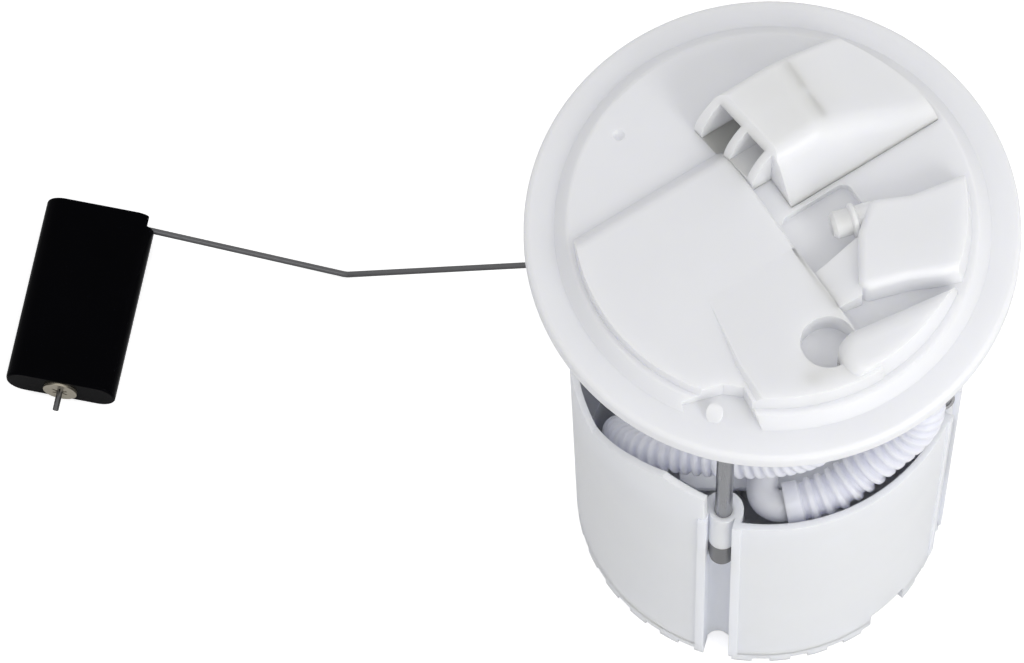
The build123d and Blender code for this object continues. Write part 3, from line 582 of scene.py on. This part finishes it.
def spline(name: str, route: Sequence[Point]) -> bpy.types.Object:
    """A smooth NURBS curve through a hose's route.

    Args:
        name: Name of the curve object.
        route: Control points in millimetres.

    Returns:
        The curve object.
    """
    curve = bpy.data.curves.new(name, "CURVE")
    curve.dimensions = "3D"
    curve.resolution_u = CURVE_STEPS
    line = curve.splines.new("NURBS")
    line.points.add(len(route) - 1)
    for control, place in zip(line.points, route):
        control.co = (*[part * MM for part in place], 1.0)
    line.order_u = 3
    line.use_endpoint_u = True
    made = bpy.data.objects.new(name, curve)
    bpy.context.scene.collection.objects.link(made)
    return made


# ------------------------------------------------------------------ sub-assemblies


@dataclass
class CorrugatedHose:
    """A convoluted hose with plain cuffs, along a route.

    Sizes are in millimetres. crest above 1 flattens the ribs' tops and the grooves'
    bottoms. fixed_z and moving_z are not used.
    """

    node: str
    route: Sequence[Point]
    radius: float
    pitch: float = 3.9
    groove: float = 1.1
    cuff_start: float = 9.0
    cuff_end: float = 11.0
    crest: float = 1.7
    steps: int = 620
    sides: int = 40
    fixed_z: float = -20.0
    moving_z: float = -84.0

    def build(self) -> bpy.types.Object:
        """Makes the hose.

        Returns:
            The hose's mesh object.
        """
        weave = Weave(
            f"{self.node}_convolutions",
            {
                "Radius": self.radius * MM,
                "Pitch": self.pitch * MM,
                "Groove": self.groove * MM,
                "Start cuff": self.cuff_start * MM,
                "End cuff": self.cuff_end * MM,
            },
        )
        resampled = weave.node(
            "GeometryNodeResampleCurve",
            Curve=weave.entry.outputs["Geometry"],
            Count=self.steps,
        )
        ring = weave.node(
            "GeometryNodeCurvePrimitiveCircle", Resolution=self.sides, Radius=1.0
        )
        tube = weave.node(
            "GeometryNodeCurveToMesh",
            Curve=resampled.outputs[0],
            Profile_Curve=ring.outputs[0],
            Scale=self._ribbed_radius(weave),
            Fill_Caps=True,
        )
        weave.finish(tube.outputs[0], Finishes.HOSE)
        line = spline(f"{self.node}_route", self.route)
        made = weave.grow(line, f"{self.node}_corrugated")
        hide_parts(self.node)
        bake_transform(made)
        log.info("%s: %d faces", made.name, len(made.data.polygons))
        return made

    def _ribbed_radius(self, weave: Weave) -> bpy.types.NodeSocket:
        """The hose's radius along its length: plain at both cuffs, ribbed between.

        Args:
            weave: The hose's tree.

        Returns:
            The radius socket.
        """
        along = weave.node("GeometryNodeSplineParameter").outputs["Length"]
        total = weave.node("GeometryNodeSplineLength").outputs["Length"]
        turns = weave.math("DIVIDE", along, weave.size("Pitch"))
        wave = weave.math("COSINE", weave.math("MULTIPLY", turns, 2 * math.pi), 0.0)
        ridge = weave.math("MULTIPLY", wave, self.crest)
        clipped = weave.math("MAXIMUM", weave.math("MINIMUM", ridge, 1.0), -1.0)
        dip = weave.math("MULTIPLY", weave.math("SUBTRACT", 1.0, clipped), 0.5)
        last = weave.math("SUBTRACT", total, weave.size("End cuff"))
        inside = weave.math("GREATER_THAN", along, weave.size("Start cuff"))
        before = weave.math("LESS_THAN", along, last)
        ribbed = weave.math("MULTIPLY", inside, before)
        share = weave.math("MULTIPLY", dip, ribbed)
        depth = weave.math("MULTIPLY", share, weave.size("Groove"))
        return weave.math("SUBTRACT", weave.size("Radius"), depth)


@dataclass
class GuideSprings:
    """The two preload springs on their guide rods. Sizes are in millimetres."""

    places: dict[str, tuple[float, float]] = field(
        default_factory=lambda: {"right": (49.36, -16.04), "rear": (-5.42, 51.62)}
    )
    low: float = -82.4
    high: float = -16.1
    radius: float = 4.0
    wire: float = 0.55
    turns: float = 13.0
    steps_per_turn: int = 28
    wire_sides: int = 10

    def build(self) -> None:
        """Makes both coils."""
        made = [self._coil(name, place) for name, place in self.places.items()]
        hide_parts("guide_springs")

    def _coil(self, name: str, place: tuple[float, float]) -> bpy.types.Object:
        """Makes one coil.

        Args:
            name: Which rod it is on.
            place: Plan position of the rod.

        Returns:
            The coil's mesh object.
        """
        weave = Weave(
            f"spring_{name}",
            {
                "Turns": self.turns,
                "Radius": self.radius * MM,
                "Wire": self.wire * MM,
                "Height": (self.high - self.low - 2 * self.wire) * MM,
                "Base": (self.low + self.wire) * MM,
                "Place X": place[0] * MM,
                "Place Y": place[1] * MM,
            },
        )
        coil = weave.node(
            "GeometryNodeCurveSpiral",
            Resolution=self.steps_per_turn,
            Rotations=weave.size("Turns"),
            Start_Radius=weave.size("Radius"),
            End_Radius=weave.size("Radius"),
            Height=weave.size("Height"),
        )
        ring = weave.node(
            "GeometryNodeCurvePrimitiveCircle",
            Resolution=self.wire_sides,
            Radius=weave.size("Wire"),
        )
        tube = weave.node(
            "GeometryNodeCurveToMesh",
            Curve=coil.outputs[0],
            Profile_Curve=ring.outputs[0],
            Fill_Caps=True,
        )
        offset = weave.node(
            "ShaderNodeCombineXYZ",
            X=weave.size("Place X"),
            Y=weave.size("Place Y"),
            Z=weave.size("Base"),
        )
        moved = weave.node(
            "GeometryNodeTransform",
            Geometry=tube.outputs[0],
            Translation=offset.outputs[0],
        )
        weave.finish(moved.outputs[0], Finishes.SPRING)
        seed = bpy.data.objects.new(f"spring_{name}_seed", bpy.data.meshes.new("seed"))
        bpy.context.scene.collection.objects.link(seed)
        made = weave.grow(seed, f"{name}_spring_coil")
        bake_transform(made)
        log.info("%s: %d faces", made.name, len(made.data.polygons))
        return made


@dataclass
class DressedNodes:
    """A sub-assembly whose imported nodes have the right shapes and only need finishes."""

    finishes: dict[str, Finishes] = field(default_factory=dict)

    def build(self) -> None:
        """Dresses each node."""
        for node, finish in self.finishes.items():
            paint(node, finish)


@dataclass
class Cover(DressedNodes):
    """The cover moulding with its pins, rods and stop."""

    finishes: dict[str, Finishes] = field(
        default_factory=lambda: {
            "cover_flange": Finishes.COVER,
            "socket_housing": Finishes.COVER,
            "socket_pins": Finishes.TERMINAL,
            "front_guide_rod": Finishes.ROD,
            "right_guide_rod": Finishes.ROD,
            "rear_guide_rod": Finishes.ROD,
            "rod_stop": Finishes.STOP,
        }
    )


@dataclass
class SwirlPot(DressedNodes):
    """The pot, its foot and what is fixed in it."""

    finishes: dict[str, Finishes] = field(
        default_factory=lambda: {
            "reservoir_cup": Finishes.POT,
            "reservoir_foot": Finishes.POT,
            "inlet_valve": Finishes.SEAL,
            "inlet_strainer": Finishes.MESH,
            "pump_carrier": Finishes.POT,
            "isolator_sleeve": Finishes.SEAL,
            "delivery_elbow": Finishes.HOSE,
            "jet_pump": Finishes.PUMP_BLACK,
            "pump_filter": Finishes.MESH,
        }
    )


@dataclass
class Pump(DressedNodes):
    """The electric pump, inside and out."""

    finishes: dict[str, Finishes] = field(
        default_factory=lambda: {
            "pump_can": Finishes.CAN,
            "pump_inlet_cap": Finishes.PUMP_BLACK,
            "impeller_housing": Finishes.PUMP_BLACK,
            "impeller": Finishes.PHENOLIC,
            "motor_magnets": Finishes.FERRITE,
            "armature": Finishes.CORE,
            "commutator": Finishes.COPPER,
            "motor_brushes": Finishes.CARBON,
            "pump_outlet_cap": Finishes.PUMP_BLACK,
        }
    )


@dataclass
class Sender(DressedNodes):
    """The level sender with its arm and float."""

    finishes: dict[str, Finishes] = field(
        default_factory=lambda: {
            "level_sender": Finishes.SENDER,
            "resistor_card": Finishes.CERAMIC,
            "arm_carrier": Finishes.SENDER,
            "float_arm": Finishes.ARM,
            "fuel_float": Finishes.FLOAT,
            "float_clip": Finishes.BRASS,
        }
    )


# Control points of both hoses in millimetres, from end to end.
SUPPLY_ROUTE: tuple[Point, ...] = (
    (5.0, -46.5, -89.0),
    (17.0, -44.5, -88.0),
    (30.0, -36.0, -82.0),
    (46.0, -29.0, -64.0),
    (40.0, -26.0, -38.0),
    (40.0, -26.0, -9.0),
)
RETURN_ROUTE: tuple[Point, ...] = (
    (20.0, -32.0, -9.0),
    (20.0, -33.5, -40.0),
    (17.0, -40.0, -63.0),
    (-5.0, -38.3, -79.0),
    (-39.0, -30.0, -88.0),
    (-44.0, -11.0, -112.0),
    (-38.0, -12.0, -152.0),
)


@dataclass
class FuelLines:
    """Supply and return hoses."""

    supply: CorrugatedHose = field(
        default_factory=lambda: CorrugatedHose(
            "supply_hose", SUPPLY_ROUTE, radius=6.5, cuff_start=4.5
        )
    )
    back: CorrugatedHose = field(
        default_factory=lambda: CorrugatedHose(
            "return_hose",
            RETURN_ROUTE,
            radius=4.9,
            pitch=3.2,
            groove=0.9,
            cuff_start=11.0,
        )
    )

    def build(self) -> None:
        """Makes both hoses."""
        self.supply.build()
        self.back.build()


# ------------------------------------------------------------------ studio


@dataclass
class Studio:
    """Camera, floor, lamps and surroundings.

    Lengths are in metres, apart from the lens and its sensor in millimetres. Angles are
    in degrees and lamps in watts.
    """

    camera_at: Point = (-0.073216, -1.340410, 3.244205)
    camera_tilt: float = 22.013
    lens: float = 438.67
    sensor: float = 36.0
    far_limit: float = 30.0
    floor_z: float = -0.1966
    floor_reach: float = 6.0
    floor_grey: float = 0.8
    floor_glow: float = 0.62
    lamps_face: Point = (-0.02, 0.0, -0.05)
    key_power: float = 2.4
    key_at: Point = (0.52, -0.52, 0.57)
    key_size: float = 0.36
    fill_power: float = 5.5
    fill_at: Point = (1.0, -1.9, 0.35)
    fill_size: float = 0.9
    front_power: float = 5.0
    front_at: Point = (-0.12, -1.25, 2.7)
    front_size: float = 0.6
    sky: float = 0.7

    def build(self) -> None:
        """Sets up the whole studio."""
        self._camera()
        self._floor()
        self._lamp("key_lamp", self.key_at, self.key_size, self.key_power)
        self._lamp("fill_lamp", self.fill_at, self.fill_size, self.fill_power)
        self._lamp("front_lamp", self.front_at, self.front_size, self.front_power)
        self._world()
        bpy.context.scene.view_settings.view_transform = "Standard"

    def _camera(self) -> None:
        """Places the camera."""
        data = bpy.data.cameras.new("camera")
        data.sensor_width = self.sensor
        data.sensor_fit = "HORIZONTAL"
        data.lens = self.lens
        data.clip_end = self.far_limit
        camera = bpy.data.objects.new("camera", data)
        camera.location = self.camera_at
        camera.rotation_euler = (math.radians(self.camera_tilt), 0.0, 0.0)
        bpy.context.scene.collection.objects.link(camera)
        bpy.context.scene.camera = camera

    def _floor(self) -> None:
        """Lays a white floor that keeps a soft shadow."""
        reach = self.floor_reach
        mesh = bpy.data.meshes.new("floor")
        corners = [(-reach, -reach), (reach, -reach), (reach, reach), (-reach, reach)]
        mesh.from_pydata([(x, y, self.floor_z) for x, y in corners], [], [(0, 1, 2, 3)])
        floor = bpy.data.objects.new("floor", mesh)
        bpy.context.scene.collection.objects.link(floor)
        made = bpy.data.materials.new("studio_floor")
        made.use_nodes = True
        graph = Graph(made.node_tree)
        grey = self.floor_grey
        matte = graph.node(
            "ShaderNodeBsdfDiffuse", inputs={"Color": (grey, grey, grey, 1.0)}
        )
        glow = graph.node(
            "ShaderNodeEmission", inputs={"Color": WHITE, "Strength": self.floor_glow}
        )
        both = graph.node(
            "ShaderNodeAddShader", inputs={0: matte.outputs[0], 1: glow.outputs[0]}
        )
        seen = graph.node("ShaderNodeLightPath").outputs["Is Camera Ray"]
        mix = graph.node(
            "ShaderNodeMixShader",
            inputs={0: seen, 1: matte.outputs[0], 2: both.outputs[0]},
        )
        graph.node("ShaderNodeOutputMaterial", inputs={"Surface": mix.outputs[0]})
        mesh.materials.append(made)

    def _lamp(self, name: str, place: Point, size: float, power: float) -> None:
        """Adds a square lamp that faces the module.

        Args:
            name: Name of the lamp.
            place: Where it hangs.
            size: Side of the square.
            power: Watts.
        """
        data = bpy.data.lights.new(name, "AREA")
        data.shape = "SQUARE"
        data.size = size
        data.energy = power
        lamp = bpy.data.objects.new(name, data)
        lamp.location = place
        aim = Vector(self.lamps_face) - Vector(place)
        lamp.rotation_euler = aim.to_track_quat("-Z", "Y").to_euler()
        bpy.context.scene.collection.objects.link(lamp)

    def _world(self) -> None:
        """White surroundings, plain white to the camera and in reflections."""
        world = bpy.data.worlds.new("studio")
        bpy.context.scene.world = world
        world.use_nodes = True
        graph = Graph(world.node_tree)
        path = graph.node("ShaderNodeLightPath")
        direct = graph.number(path, "Is Camera Ray")
        for ray in ("Is Transmission Ray", "Is Glossy Ray"):
            direct = direct.maximum(graph.number(path, ray))
        strength = direct * (1.0 - self.sky) + self.sky
        back = graph.node(
            "ShaderNodeBackground", inputs={"Color": WHITE, "Strength": strength}
        )
        graph.node("ShaderNodeOutputWorld", inputs={"Surface": back.outputs[0]})


def main() -> None:
    """Builds the studio and every sub-assembly."""
    logging.basicConfig(level=logging.INFO, format="%(name)s: %(message)s")
    pieces = (Cover(), SwirlPot(), Pump(), Sender(), FuelLines(), GuideSprings())
    for part in (Studio(), *pieces):
        part.build()
        log.info("%s is built", type(part).__name__)


if __name__ == "__main__":
    main()
